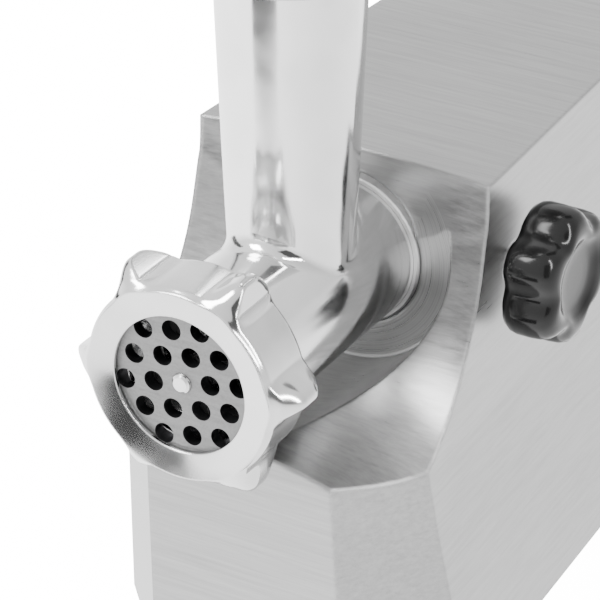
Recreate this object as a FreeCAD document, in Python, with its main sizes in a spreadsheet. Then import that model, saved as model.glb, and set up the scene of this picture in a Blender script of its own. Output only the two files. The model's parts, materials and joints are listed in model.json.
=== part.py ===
import FreeCAD, Part
import math
import os
import re
import Sketcher

# Electric meat grinder of the small household size, whose plate is 62 mm across.
# Frame: the table is z = 0, +Z is up, -Y is the front (the ring nut's side), and x = 0 is the
# plane of the grinding head.  All lengths are in millimetres, all angles in degrees.

V = FreeCAD.Vector
Rotation = FreeCAD.Rotation
Placement = FreeCAD.Placement
doc = FreeCAD.newDocument("meat_grinder")

# ---------------------------------------------------------------------------------------------
# Driving dimensions
# ---------------------------------------------------------------------------------------------
DIMENSIONS = [
    ("axis_height", 168.0, "height of the head's axis above the table"),
    ("plate_face", -185.0, "Y of the plate's front face"),
    ("plate_radius", 31.0, "outer radius of the grinder plate"),
    ("plate_thickness", 5.0, "thickness of the grinder plate"),
    ("hole_radius", 4.0, "radius of one plate hole"),
    ("hole_pitch", 12.25, "distance between neighbouring plate holes"),
    ("hole_turn", 11.2, "angle by which the rows of holes are turned"),
    ("notch_width", 5.0, "width of the plate's locating notch"),
    ("notch_bottom", 28.2, "radius at which the locating notch ends"),
    ("stud_radius", 4.0, "radius of the auger stud"),
    ("running_gap", 0.08, "radial clearance of a running fit"),
    ("barrel_radius", 30.0, "outer radius of the head's barrel"),
    ("barrel_bore", 26.5, "bore of the head's barrel"),
    ("mouth_length", 27.0, "length of the widened mouth behind the plate's face"),
    ("mouth_radius", 34.6, "outer radius of the mouth, over its thread"),
    ("head_length", 155.0, "length of the head from the plate's face to the tail's end"),
    ("neck_back", 79.0, "distance of the neck's axis behind the plate's face"),
    ("neck_top", 147.0, "height of the neck's rim above the head's axis"),
    ("neck_radius_top", 29.2, "outer radius of the neck at its rim"),
    ("neck_radius_low", 24.6, "outer radius of the neck at the barrel"),
    ("neck_wall", 2.6, "wall of the neck"),
    ("ring_opening", 27.6, "radius of the ring nut's opening"),
    ("ring_front", 3.6, "distance of the ring's front rim before the plate's face"),
    ("ring_lip", 2.3, "thickness of the ring's lip at its opening"),
    ("ring_face_radius", 38.0, "radius of the ring's front rim"),
    ("ring_rear_radius", 39.4, "radius of the ring's rear rim"),
    ("ring_length", 27.0, "length of the ring nut"),
    ("lug_count", 6, "number of lugs round the ring nut"),
    ("lug_radius", 48.5, "radius over the ring's lugs"),
    ("lug_turn", 61.0, "angle of the first lug from +X towards +Z"),
    ("auger_radius", 26.0, "radius over the auger's flight"),
    ("auger_core", 9.0, "radius of the auger's core"),
    ("auger_pitch", 31.0, "pitch of the auger's flight"),
    ("square_drive", 10.0, "width across the auger tail's square"),
    ("recess_radius", 47.5, "radius of the round recess that the head stands in"),
    ("recess_floor", -63.0, "Y of the recess's floor"),
    ("socket_bore", 30.08, "bore of the socket that takes the barrel's tail"),
    ("socket_radius", 32.0, "outer radius of the socket tube"),
    ("housing_top", 210.0, "height of the housing's top face at its front"),
    ("housing_bottom", 9.0, "height of the housing's lower edge"),
    ("housing_back", 142.0, "Y of the shell's rear edge"),
    ("wall", 2.5, "wall of the housing shell"),
    ("front_y", -146.9, "Y of the front panel at its top"),
    ("front_half_width", 40.3, "half width of the front panel"),
    ("corner_y", -116.0, "Y where the slanted corner faces meet the sides"),
    ("side_half_width", 65.3, "half width over the sides at the front"),
    ("left_extra", 3.4, "how much further out the left side stands above the skirt"),
    ("back_half_width", 52.0, "half width over the sides at the back"),
    ("skirt_flare", 12.0, "how far the side skirts flare out at the lower edge"),
    ("skirt_height", 86.0, "height at which the skirt starts to flare"),
    ("scoop_back", 60.0, "distance of the scoop's upright part before y = 0"),
    ("knob_y", -42.0, "Y of the locking knob's axis"),
    ("knob_radius", 29.0, "radius over the locking knob's lobes"),
    ("spindle_radius", 5.0, "radius of the locking spindle"),
    ("motor_drop_one", 40.5, "centre distance of the second gear stage"),
    ("motor_drop_two", 36.0, "centre distance of the first gear stage"),
    ("module_one", 1.0, "module of the first gear stage"),
    ("module_two", 1.5, "module of the second gear stage"),
    ("teeth_motor", 12, "teeth of the motor pinion"),
    ("teeth_wheel", 60, "teeth of the intermediate wheel"),
    ("teeth_pinion", 13, "teeth of the intermediate pinion"),
    ("teeth_output", 41, "teeth of the output wheel"),
    ("case_front", -22.0, "Y of the gearbox's front face"),
    ("case_back", 20.0, "Y of the gearbox case's rear edge"),
    ("case_half_width", 36.5, "half width of the gearbox"),
    ("stator_half", 43.0, "half width of the square motor stator"),
    ("stator_front", 48.0, "Y of the stator's front face"),
    ("stator_length", 46.0, "length of the stator's stack"),
    ("rotor_radius", 23.6, "radius of the rotor"),
    ("rotor_gap", 0.4, "air gap between rotor and stator"),
    ("foot_radius", 11.0, "radius of a rubber foot"),
    ("foot_x", 52.0, "x of the feet"),
    ("foot_y", 100.0, "distance of the feet before and behind y = 0"),
]

sheet = doc.addObject("Spreadsheet::Sheet", "Dimensions")
for row, (alias, value, meaning) in enumerate(DIMENSIONS, start=1):
    sheet.set(f"A{row}", meaning)
    sheet.set(f"B{row}", str(value))
    sheet.setAlias(f"B{row}", alias)
doc.recompute()
ALIAS = re.compile(r"\b(" + "|".join(name for name, _, _ in DIMENSIONS) + r")\b")


def size(alias):
    """The number that the sheet holds under an alias."""
    return float(getattr(sheet, alias))


# ---------------------------------------------------------------------------------------------
# Helpers: every size is an expression in the sheet's aliases, written as plain text
# ---------------------------------------------------------------------------------------------
TURN_TO = {
    "X": Rotation(V(0, 1, 0), 90),
    "-X": Rotation(V(0, 1, 0), -90),
    "Y": Rotation(V(1, 0, 0), -90),
    "-Y": Rotation(V(1, 0, 0), 90),
    "Z": Rotation(),
    "-Z": Rotation(V(1, 0, 0), 180),
}
serial = iter(range(1, 10000))


def bind(obj, prop, text):
    """Bind a property to an expression in which aliases stand for the sheet's cells."""
    obj.setExpression(prop, ALIAS.sub(r"Dimensions.\g<0>", str(text)))


def place(obj, at, rotation):
    """Place an object at three expressions."""
    obj.Placement = Placement(V(0, 0, 0), rotation)
    for letter, text in zip("xyz", at):
        bind(obj, f"Placement.Base.{letter}", text)
    return obj


def cylinder(radius, length, at, axis="Z"):
    """A cylinder that starts at a point and runs along an axis."""
    obj = doc.addObject("Part::Cylinder", f"cylinder{next(serial)}")
    bind(obj, "Radius", radius)
    bind(obj, "Height", length)
    return place(obj, at, TURN_TO[axis])


def cone(radius_one, radius_two, length, at, axis="Z"):
    """A cone's frustum that starts at a point and runs along an axis."""
    obj = doc.addObject("Part::Cone", f"cone{next(serial)}")
    bind(obj, "Radius1", radius_one)
    bind(obj, "Radius2", radius_two)
    bind(obj, "Height", length)
    return place(obj, at, TURN_TO[axis])


def box(lengths, corner, rotation=Rotation()):
    """A box with its lengths along X, Y and Z and its lowest corner."""
    obj = doc.addObject("Part::Box", f"box{next(serial)}")
    for prop, text in zip(("Length", "Width", "Height"), lengths):
        bind(obj, prop, text)
    return place(obj, corner, rotation)


def fuse(*shapes):
    obj = doc.addObject("Part::MultiFuse", f"fuse{next(serial)}")
    obj.Shapes = list(shapes)
    obj.Refine = True
    return obj


def cut(base, *tools):
    obj = doc.addObject("Part::Cut", f"cut{next(serial)}")
    obj.Base = base
    obj.Tool = tools[0] if len(tools) == 1 else fuse(*tools)
    obj.Refine = True
    return obj


def common(base, tool):
    obj = doc.addObject("Part::Common", f"common{next(serial)}")
    obj.Base = base
    obj.Tool = tool
    return obj


def feature(shape):
    """A plain feature for a shape that no primitive or body makes."""
    obj = doc.addObject("Part::Feature", f"feature{next(serial)}")
    obj.Shape = shape
    return obj


def origin_plane(body, role):
    for item in body.Origin.OriginFeatures:
        if item.Role == role:
            return item
    raise ValueError(role)


def outline(sketch, corners):
    """A closed outline of straight lines, each corner held at two expressions."""
    doc.recompute()
    values = [[evaluate(text) for text in corner] for corner in corners]
    points = [V(along, across, 0) for along, across in values]
    count = len(points)
    for index in range(count):
        sketch.addGeometry(Part.LineSegment(points[index], points[(index + 1) % count]), False)
    for index in range(count):
        sketch.addConstraint(Sketcher.Constraint("Coincident", index, 2, (index + 1) % count, 1))
    for index, (along, across) in enumerate(corners):
        for kind, text, value in (("X", along, points[index].x), ("Y", across, points[index].y)):
            number = sketch.addConstraint(
                Sketcher.Constraint("Distance" + kind, -1, 1, index, 1, value))
            bind(sketch, f"Constraints[{number}]", text)


def evaluate(text):
    """The value of an expression, from the sheet's own evaluator."""
    if isinstance(text, (int, float)):
        return float(text)
    value = sheet.evalExpression(ALIAS.sub(r"Dimensions.\g<0>", text))
    return float(getattr(value, "Value", value))


def turned(corners, at, axis="Y"):
    """A turned piece: an outline of (distance along the axis, radius) revolved by a full turn."""
    number = next(serial)
    body = doc.addObject("PartDesign::Body", f"turned{number}")
    sketch = body.newObject("Sketcher::SketchObject", f"section{number}")
    sketch.AttachmentSupport = (origin_plane(body, "XY_Plane"), "")
    sketch.MapMode = "FlatFace"
    outline(sketch, corners)
    revolution = body.newObject("PartDesign::Revolution", f"revolution{number}")
    revolution.Profile = sketch
    revolution.ReferenceAxis = (sketch, ["H_Axis"])
    revolution.Angle = 360
    body.Tip = revolution
    turns = {"X": Rotation(), "Y": Rotation(V(0, 0, 1), 90), "Z": Rotation(V(0, 1, 0), -90),
             "-Y": Rotation(V(0, 0, 1), -90), "-X": Rotation(V(0, 0, 1), 180),
             "-Z": Rotation(V(0, 1, 0), 90)}
    return place(body, at, turns[axis])


def padded(corners, length, at, axis="Y"):
    """A straight-sided outline padded along an axis.

    Along Y the outline is drawn in X and Z, along X in Y and Z, along Z in X and Y.
    """
    number = next(serial)
    body = doc.addObject("PartDesign::Body", f"padded{number}")
    sketch = body.newObject("Sketcher::SketchObject", f"plan{number}")
    sketch.AttachmentSupport = (origin_plane(body, "XY_Plane"), "")
    sketch.MapMode = "FlatFace"
    outline(sketch, corners)
    pad = body.newObject("PartDesign::Pad", f"pad{number}")
    pad.Profile = sketch
    bind(pad, "Length", length)
    pad.Reversed = axis == "Y"
    body.Tip = pad
    turns = {"X": Rotation(V(1, 1, 1), 120), "Y": Rotation(V(1, 0, 0), 90), "Z": Rotation()}
    return place(body, at, turns[axis])


def spun(obj, angle, at=(0, 0, 0)):
    """An object turned about the Y axis through the origin, then moved."""
    holder = doc.addObject("Part::Compound", f"spun{next(serial)}")
    holder.Links = [obj]
    return place(holder, at, Rotation(V(0, 1, 0), -angle))


def rounded(base, radius, chooser):
    """Fillet the edges of a shape that a chooser picks."""
    doc.recompute()
    obj = doc.addObject("Part::Fillet", f"fillet{next(serial)}")
    obj.Base = base
    value = evaluate(radius)
    picked = [(n, value, value) for n, edge in enumerate(base.Shape.Edges, start=1) if chooser(edge)]
    obj.Edges = picked
    return obj


NODES = []


def node(name, obj):
    """Name a finished piece."""
    obj.Label = name
    NODES.append(obj)
    return obj


def screw(thread_radius, thread_length, head_radius, head_height, at, axis):
    """A pan-head screw: the head stands outward, the thread runs along the axis."""
    corners = [(f"-({head_height})", 0), (f"-({head_height})", f"({head_radius}) * 0.75"),
               (f"-({head_height}) * 0.6", head_radius), (0, head_radius), (0, thread_radius),
               (thread_length, thread_radius), (thread_length, 0)]
    return turned(corners, at, axis)


# ---------------------------------------------------------------------------------------------
# Grinding head
# ---------------------------------------------------------------------------------------------
HEAD = (0, "plate_face", "axis_height")
NECK = (0, "plate_face + neck_back")


def head_body():
    """Barrel and feed neck in one casting, with a key for the plate's notch."""
    seat = "plate_radius + 0.15"
    barrel = turned([(1.2, 0), (1.2, "mouth_radius"), ("mouth_length - 3", "mouth_radius"),
                     ("mouth_length", "barrel_radius"), ("head_length", "barrel_radius"),
                     ("head_length", 0)], HEAD)
    taper = "(neck_radius_top - neck_radius_low) / (neck_top - barrel_radius)"
    foot_radius_out = f"neck_radius_low - {taper} * barrel_radius"
    neck = cone(foot_radius_out, "neck_radius_top", "neck_top", (*NECK, "axis_height"))
    blended = rounded(fuse(barrel, neck), 6, lambda edge: edge.Curve.TypeId == "Part::GeomBSplineCurve")
    chamber = turned([(1, 0), (1, seat), ("plate_thickness", seat), ("plate_thickness", "barrel_bore"),
                      ("head_length - 4", "barrel_bore"), ("head_length - 4", 10.4),
                      ("head_length + 1", 10.4), ("head_length + 1", 0)], HEAD)
    throat = cone(f"{foot_radius_out} - neck_wall", "neck_radius_top - neck_wall", "neck_top + 1",
                  (*NECK, "axis_height"))
    dimple = cylinder("spindle_radius + 1", 4, ("barrel_radius - 1", "knob_y", "axis_height"), "X")
    key = box(("notch_width - 0.3", "plate_thickness - 1.4", 1.3),
              ("-(notch_width - 0.3) / 2", "plate_face + 1.4", "axis_height - plate_radius - 0.3"))
    return fuse(cut(blended, chamber, throat, dimple), key)


def ring_nut():
    """Six-lobed nut: a dished lip over the plate, and lugs with a flat on one flank."""
    bore = "mouth_radius + 0.3"
    rear = "ring_length - ring_front"
    body = turned([("-ring_lip", "ring_opening"), ("-ring_front", "ring_face_radius"),
                   ("-ring_front + 1", "ring_face_radius + 0.8"), (rear, "ring_rear_radius"),
                   (rear, bore), (-0.3, bore), (-0.3, "ring_opening + 0.4")],
                  HEAD)
    lugs = []
    for index in range(int(size("lug_count"))):
        lug = padded([("ring_rear_radius - 3", -9), ("lug_radius - 7", -5.1), ("lug_radius - 1", -0.9),
                      ("lug_radius", 1.5), ("lug_radius - 3.2", 6.2), ("ring_rear_radius - 3", 13)],
                     "ring_length - 4", (0, "plate_face + 3 - ring_front", "axis_height"))
        angle = size("lug_turn") + index * 360 / size("lug_count")
        lug.Placement.Rotation = Rotation(V(0, 1, 0), -angle).multiply(lug.Placement.Rotation)
        lugs.append(lug)
    hollow = cylinder(bore, "ring_length", (0, "plate_face - 0.3", "axis_height"), "Y")
    return fuse(body, cut(fuse(*lugs), hollow))


def plate_spots():
    """Centres of the plate's holes: rows three, four, four, four and three, without the middle."""
    pitch = size("hole_pitch")
    turn = math.radians(size("hole_turn"))
    spots = []
    for row in range(-2, 3):
        for step in range(-2, 3):
            if abs(row + step) > 2 or (row, step) == (0, 0):
                continue
            along = pitch * (step + row / 2)
            across = pitch * row * math.sqrt(3) / 2
            spots.append((along * math.cos(turn) - across * math.sin(turn),
                          along * math.sin(turn) + across * math.cos(turn)))
    return spots


def grinder_plate():
    disc = turned([(0, "stud_radius + running_gap"), (0, "plate_radius - 0.4"), (0.4, "plate_radius"),
                   ("plate_thickness", "plate_radius"),
                   ("plate_thickness", "stud_radius + running_gap")], HEAD)
    holes = []
    for across, up in plate_spots():
        holes.append(cylinder("hole_radius", "plate_thickness + 2",
                              (across, "plate_face - 1", f"axis_height + {up}"), "Y"))
    half = "notch_width / 2"
    notch = box(("notch_width", "plate_thickness + 2", 6),
                (f"-{half}", "plate_face - 1", f"axis_height - notch_bottom - {half} - 6"))
    notch_end = cylinder(half, "plate_thickness + 2",
                         (0, "plate_face - 1", f"axis_height - notch_bottom - {half}"), "Y")
    return cut(disc, notch, notch_end, *holes)


def grinder_knife():
    """Four-armed knife on the auger's front square."""
    start = "plate_face + plate_thickness + 0.3"
    hub = cylinder(9.5, 7, (0, start, "axis_height"), "Y")
    arms = []
    for index in range(4):
        arm = padded([(0, -4.5), (24.5, -2.2), (24.5, 1.6), (0, 4.5)], 5.5, (0, start, "axis_height"))
        arm.Placement.Rotation = Rotation(V(0, 1, 0), -(20 + 90 * index)).multiply(arm.Placement.Rotation)
        arms.append(arm)
    seat = box((9.04, 9, 9.04), (-4.52, f"{start} - 1", "axis_height - 4.52"))
    return cut(fuse(hub, *arms), seat)


def auger():
    """Feed screw: a core with a helical flight, a front square and a rear drive square."""
    core = turned([(13, 0), (13, "auger_core - 1"), (16, "auger_core"), (143, "auger_core"),
                   (143, 14), (148.2, 14), (148.2, "10.4 - running_gap"),
                   (156, "10.4 - running_gap"), (156, 0)], HEAD)
    front = box((8.98, 8, 8.98), (-4.49, "plate_face + 5.4", "axis_height - 4.49"))
    tail = box(("square_drive", 20, "square_drive"),
               ("-square_drive / 2", "plate_face + 155.5", "axis_height - square_drive / 2"))
    bore = cylinder("stud_radius", 17, (0, "plate_face + 4", "axis_height"), "Y")
    length = 122.0
    helix = Part.makeHelix(size("auger_pitch"), length, size("auger_core"))
    inner = size("auger_core") - 3
    outer = size("auger_radius")
    blade = Part.makePolygon([V(inner, 0, -3.2), V(outer, 0, -1.3), V(outer, 0, 1.3),
                              V(inner, 0, 3.2), V(inner, 0, -3.2)])
    flight = Part.Wire(helix.Edges).makePipeShell([blade], True, True)
    flight.Placement = Placement(V(0, size("plate_face") + 16, size("axis_height")), TURN_TO["Y"])
    return cut(fuse(fuse(core, front, tail), feature(flight)), bore)


def feed_tray():
    """Pan with a round nose over the neck, a wide rear and a rolled rim; its collar sits on the neck."""
    neck_y = size("plate_face") + size("neck_back")
    floor_z = size("axis_height") + size("neck_top") - 3

    def plan(nose, half, back, height):
        """Half-round nose, straight flanks that open to the full width, rounded rear corners."""
        corner = 26.0
        shoulder = neck_y + 74
        rear = neck_y + back
        bend = corner * math.sqrt(0.5)
        path = [Part.Arc(V(-nose, neck_y, height), V(0, neck_y - nose, height), V(nose, neck_y, height)),
                Part.LineSegment(V(nose, neck_y, height), V(half, shoulder, height)),
                Part.LineSegment(V(half, shoulder, height), V(half, rear - corner, height)),
                Part.Arc(V(half, rear - corner, height),
                         V(half - corner + bend, rear - corner + bend, height),
                         V(half - corner, rear, height)),
                Part.LineSegment(V(half - corner, rear, height), V(corner - half, rear, height)),
                Part.Arc(V(corner - half, rear, height),
                         V(corner - half - bend, rear - corner + bend, height),
                         V(-half, rear - corner, height)),
                Part.LineSegment(V(-half, rear - corner, height), V(-half, shoulder, height)),
                Part.LineSegment(V(-half, shoulder, height), V(-nose, neck_y, height))]
        return Part.Wire([piece.toShape() for piece in path])

    depth = 30.0
    sheet_metal = 1.6
    rim = 4.0
    outside = Part.makeLoft([plan(46, 66, 150, floor_z), plan(60, 80, 164, floor_z + depth)], True, True)
    inside = Part.makeLoft([plan(46 - sheet_metal, 66 - sheet_metal, 150 - sheet_metal, floor_z + sheet_metal),
                            plan(60 - sheet_metal, 80 - sheet_metal, 164 - sheet_metal,
                                 floor_z + depth + 1)], True, True)
    lip = Part.Face(plan(60 + rim, 80 + rim, 164 + rim, floor_z + depth - 2)).extrude(V(0, 0, 2))
    pan = outside.fuse(lip).cut(inside)
    throat = "neck_radius_top + 0.3"
    pan = cut(feature(pan.removeSplitter()), cylinder(throat, 20, (*NECK, "axis_height + neck_top - 10")))
    collar = cut(cylinder(f"{throat} + 3", 14, (*NECK, "axis_height + neck_top - 12")),
                 cylinder(throat, 12.3, (*NECK, "axis_height + neck_top - 12")),
                 cylinder("neck_radius_top - neck_wall + 0.2", 20, (*NECK, "axis_height + neck_top - 10")))
    return fuse(pan, collar)


def feed_pusher():
    """Plunger that stands in the neck, with a waist to hold and a broad cap."""
    top = "neck_top + 2.4"
    return turned([(75, 0), (75, 12), (78, 15), (top, 15), (top, 33), (f"{top} + 4", 34),
                   (f"{top} + 7", 30), (f"{top} + 11", 16), (f"{top} + 34", 14), (f"{top} + 40", 22),
                   (f"{top} + 46", 24), (f"{top} + 51", 21), (f"{top} + 53", 0)], (*NECK, "axis_height"), "Z")


node("head_body", head_body())
node("ring_nut", ring_nut())
node("grinder_plate", grinder_plate())
node("grinder_knife", grinder_knife())
node("auger", auger())
node("auger_stud", turned([(-1.6, 0), (-1.6, "stud_radius - 1.2"), (-0.9, "stud_radius - 0.3"),
                           (-0.2, "stud_radius"), (20, "stud_radius"), (20, 0)], HEAD))
node("thrust_washer", turned([(148.2, 10.4), (148.2, 16), (150.7, 16), (150.7, 10.4)], HEAD))
node("feed_tray", feed_tray())
node("feed_pusher", feed_pusher())

# ---------------------------------------------------------------------------------------------
# Housing
# ---------------------------------------------------------------------------------------------
PANEL_X = -56.5
PANEL_Y = 58.0
PANEL_Z = 160.0
PANEL_LENGTH = 70.0
PANEL_HEIGHT = 42.0
RESET_X = 38.0
CORNER_SLOPE = (size("corner_y") - size("front_y")) / (size("side_half_width") - size("front_half_width"))
FLARES = [(size("housing_bottom"), 1.0), (size("skirt_height"), 0.22), (size("skirt_height") + 26, 0.0)]


def plan_wire(height, flare, inset, lean, back):
    """The housing's plan at one height: front panel, slanted corners, sides and back."""
    out = flare * size("skirt_flare")
    side = size("side_half_width") + out - inset
    front = size("front_y") + lean + inset
    half = size("front_half_width") + 0.35 * lean - 0.35 * inset
    corner = size("corner_y") + out * CORNER_SLOPE + 0.35 * inset
    rear = size("back_half_width") + 0.8 * out - inset
    right = [V(half, front, height), V(side, corner, height), V(rear, back, height)]
    spread = size("left_extra") * (1.0 - max(flare, 0.0))
    left = [V(-rear, back, height), V(-side - spread, corner, height), V(-half, front, height)]
    return Part.makePolygon(right + left + right[:1])


def housing_block(inset, bottom, top, back):
    """The solid inside the housing's outer planes, before its front is hollowed out."""
    lean = 7.0
    wires = []
    for height, flare in FLARES:
        share = (size("skirt_height") + 26 - height) / (size("skirt_height") + 17)
        wires.append(plan_wire(bottom if flare == 1.0 else height, flare, inset, lean * share, back))
    draft = -1.0 / size("skirt_flare")
    wires.append(plan_wire(top, draft, inset, 0.0, back))
    return Part.makeLoft(wires, True, True)


def scoop(grow):
    """The space in front of the housing: a quarter ellipse in section, crowned across its width."""
    axis = size("axis_height")
    front = size("front_y") - 2.0
    wires = []
    for across in range(-75, 76, 15):
        ledge = axis - 47.2 - across ** 2 / 266 - grow
        upright = -size("scoop_back") - across ** 2 / 740 + grow
        crown = axis + 25.0 + 20.0 * abs(across / 65.0) ** 3
        arc = []
        for step in range(9):
            angle = math.radians(90.0 * step / 8)
            arc.append(V(across, front + (upright - front) * math.sin(angle),
                         crown - (crown - ledge) * math.cos(angle)))
        curve = Part.BSplineCurve()
        curve.interpolate(arc, InitialTangent=V(0, 1, 0), FinalTangent=V(0, 0, 1))
        rise = V(across, upright + 1.0, axis + 80)
        corners = [arc[-1], rise, V(across, front - 60, axis + 80), V(across, front - 60, ledge), arc[0]]
        edges = [curve.toShape()]
        for start, end in zip(corners, corners[1:]):
            edges.append(Part.LineSegment(start, end).toShape())
        wires.append(Part.Wire(edges))
    return Part.makeLoft(wires, True, False)


def recess(grow, floor):
    """The round well in the front that the head stands in."""
    start = size("front_y") + 15.0
    return Part.makeCylinder(size("recess_radius") + grow, floor - start,
                             V(0, start, size("axis_height")), V(0, 1, 0))


def soften(shape, radius, chooser):
    """Round the chosen edges one after another, leaving out any that cannot be rounded."""
    picked = [edge for edge in shape.Edges if chooser(edge)]
    try:
        smooth = shape.makeFillet(radius, picked)
        if smooth.isValid():
            return smooth
    except Part.OCCError:
        pass
    return shape


def is_side_rim(edge):
    """An edge where the hollow front or the top meets a side face."""
    middle = edge.CenterOfMass
    flat_top = abs(middle.z - size("housing_top")) < 0.5 and abs(middle.x) > 40
    high_side = abs(middle.x) > 57 and middle.z > size("axis_height") - 60 and edge.Length > 20
    return flat_top or (high_side and middle.y < size("corner_y") + 70)


def housing_shell():
    top = size("housing_top")
    back = size("housing_back")
    wall = size("wall")
    block = housing_block(0.0, size("housing_bottom"), top, back)
    outside = block.cut(scoop(0.0)).cut(recess(0.0, size("recess_floor")))
    outside = soften(outside.removeSplitter(), 2.5, is_side_rim)
    hollow = housing_block(wall, size("housing_bottom") - 1, top - wall, back + 1)
    hollow = hollow.cut(scoop(wall)).cut(recess(wall, size("recess_floor") + wall))
    axis = size("axis_height")
    head_hole = Part.makeCylinder(size("socket_radius") + 0.05, 40, V(0, -80, axis), V(0, 1, 0))
    spindle_hole = Part.makeCylinder(size("spindle_radius") + 3, 40, V(45, size("knob_y"), axis), V(1, 0, 0))
    panel_hole = Part.makeBox(40, PANEL_LENGTH + 0.3, PANEL_HEIGHT + 0.3,
                              V(-80, PANEL_Y - (PANEL_LENGTH + 0.3) / 2, PANEL_Z - (PANEL_HEIGHT + 0.3) / 2))
    shell = outside.cut(hollow)
    for tool in (head_hole, spindle_hole, panel_hole):
        shell = shell.cut(tool)
    return feature(shell)


def rear_corners(inset):
    """The outline of the housing's back, drawn in X and Z."""
    flares = [(size("housing_bottom"), 1.0), (size("skirt_height"), 0.22),
              (size("skirt_height") + 26, 0.0), (size("housing_top"), -1.0 / size("skirt_flare"))]
    right = []
    for height, flare in flares:
        across = size("back_half_width") + 0.8 * flare * size("skirt_flare") - inset
        level = min(max(height, size("housing_bottom") + inset), size("housing_top") - inset)
        right.append((across, level))
    return right + [(-across, level) for across, level in reversed(right)]


def rear_cover():
    """Back plate with rows of air slots and a window for the inlet."""
    plate = padded(rear_corners(0.0), 3, (0, "housing_back", 0))
    lip = padded(rear_corners(size("wall") + 0.3), 4, (0, "housing_back - 4", 0))
    hollow = padded(rear_corners(size("wall") + 2.8), 6, (0, "housing_back - 5", 0))
    cover = fuse(plate, cut(lip, hollow))
    slots = []
    for index in range(9):
        slots.append(box((56, 20, 3), (-28, "housing_back - 8", f"72 + 8 * {index}")))
    window = box((27.6, 20, 20.4), (-13.8, "housing_back - 8", 30))
    reset = cylinder(6.2, 20, (RESET_X, "housing_back - 8", 40), "Y")
    holes = []
    for across, up in REAR_SCREWS:
        holes.append(cylinder(1.7, 20, (across, "housing_back - 8", up), "Y"))
    return cut(cover, window, reset, *slots, *holes)


REAR_SCREWS = [(-50, 24), (50, 24), (-43, 190), (43, 190)]


def base_plate():
    """Floor pan that closes the housing from below, with air slots and a step under each foot."""
    bottom = size("housing_bottom")
    wire = plan_wire(bottom, 0.97, size("wall") + 0.4, 7.0, size("housing_back") - 5)
    pan = feature(Part.Face(wire).extrude(V(0, 0, 2.5)))
    slots = []
    for index in range(7):
        slots.append(box((44, 4, 10), (-22, f"40 + 9 * {index}", "housing_bottom - 3")))
    return cut(pan, *slots)


def foot_spots():
    return [(across, along) for across in (-1, 1) for along in (-1, 1)]


def rubber_feet():
    """Four screwed feet at the corners and a plain pad under the middle."""
    feet = [turned([(0, 0), (0, "foot_radius - 1"), (1, "foot_radius"), ("housing_bottom", "foot_radius"),
                    ("housing_bottom", 0)], (0, 0, 0), "Z")]
    for across, along in foot_spots():
        feet.append(turned([(0, 2.6), (0, "foot_radius - 1.5"), (1.5, "foot_radius - 0.3"),
                            ("housing_bottom", "foot_radius + 1"), ("housing_bottom", 2.1), (5, 2.1),
                            (5, 4.4), (0.8, 4.4)],
                           (f"{across} * foot_x", f"{along} * foot_y", 0), "Z"))
    return fuse(*feet)


def group_of_screws(spots, axis, thread_radius, thread_length, head_radius, head_height):
    """Identical screws at several places, as separate solids in one piece."""
    return fuse(*[screw(thread_radius, thread_length, head_radius, head_height, spot, axis)
                  for spot in spots])


def lock_knob():
    """Six-lobed plastic knob on the right side."""
    start = "side_half_width + 1"
    at = (start, "knob_y", "axis_height")
    core = turned([(0, "spindle_radius + 0.02"), (0, 15), (4, 23), (22, 22), (24, 17), (24, 6), (12, 6),
                   (12, "spindle_radius + 0.02")], at, "X")
    lobes = []
    for index in range(6):
        angle = math.radians(30 + 60 * index)
        along = f"knob_y + (knob_radius - 8) * {math.cos(angle):.6f}"
        up = f"axis_height + (knob_radius - 8) * {math.sin(angle):.6f}"
        lobes.append(turned([(1.5, 0), (1.5, 6), (4, 8), (20, 7.6), (22, 6), (22, 0)], (start, along, up), "X"))
    bore = cylinder("spindle_radius + 0.02", 12, at, "X")
    well = cylinder(6, 13, (f"{start} + 12", "knob_y", "axis_height"), "X")
    return cut(fuse(core, *lobes), bore, well)


def head_socket():
    """Tube that takes the barrel's tail, with a horseshoe flange behind the recess and the spindle's boss."""
    at = (0, "recess_floor", "axis_height")
    tube = turned([(-1.5, "socket_bore"), (-1.5, "socket_radius - 0.6"), (-0.9, "socket_radius"),
                   (34, "socket_radius"), (34, "socket_bore")], at)
    flange = cut(cylinder(46, 3, (0, "recess_floor + wall", "axis_height"), "Y"),
                 box((100, 10, 50), (-50, "recess_floor", "axis_height + 8")))
    boss = cylinder(9, 14, ("socket_bore - 2", "knob_y", "axis_height"), "X")
    bore = cylinder("socket_bore", 60, (0, "recess_floor - 10", "axis_height"), "Y")
    spindle_hole = cylinder("spindle_radius + running_gap", 40, ("socket_bore - 8", "knob_y", "axis_height"), "X")
    return cut(fuse(tube, flange, boss), bore, spindle_hole)


def ring_of_spots(radius, count, first, along, spread=360):
    """Points on a circle round the head's axis."""
    spots = []
    for index in range(count):
        angle = math.radians(first + index * spread / count)
        spots.append((radius * math.cos(angle), along, f"axis_height + {radius * math.sin(angle):.6f}"))
    return spots


node("housing_shell", housing_shell())
node("rear_cover", rear_cover())
node("rear_cover_screws", group_of_screws([(across, "housing_back + 3", up) for across, up in REAR_SCREWS],
                                          "-Y", 1.6, 6.5, 3.2, 2))
node("base_plate", base_plate())
node("rubber_feet", rubber_feet())
node("foot_screws", group_of_screws([(f"{across} * foot_x", f"{along} * foot_y", 5)
                                     for across, along in foot_spots()], "Z", 2.1, 9, 4, 2))
node("head_socket", head_socket())
node("socket_screws", group_of_screws(ring_of_spots(39.5, 4, -160, "recess_floor + 5.5", 186.6), "-Y", 2, 4.8, 3.6, 2.4))
node("lock_knob", lock_knob())
node("lock_spindle", turned([(0.35, 0), (0.35, 3.2), (2, "spindle_radius"),
                             ("side_half_width + 12.9 - barrel_radius", "spindle_radius"),
                             ("side_half_width + 12.9 - barrel_radius", 0)],
                            ("barrel_radius", "knob_y", "axis_height"), "X"))

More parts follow.
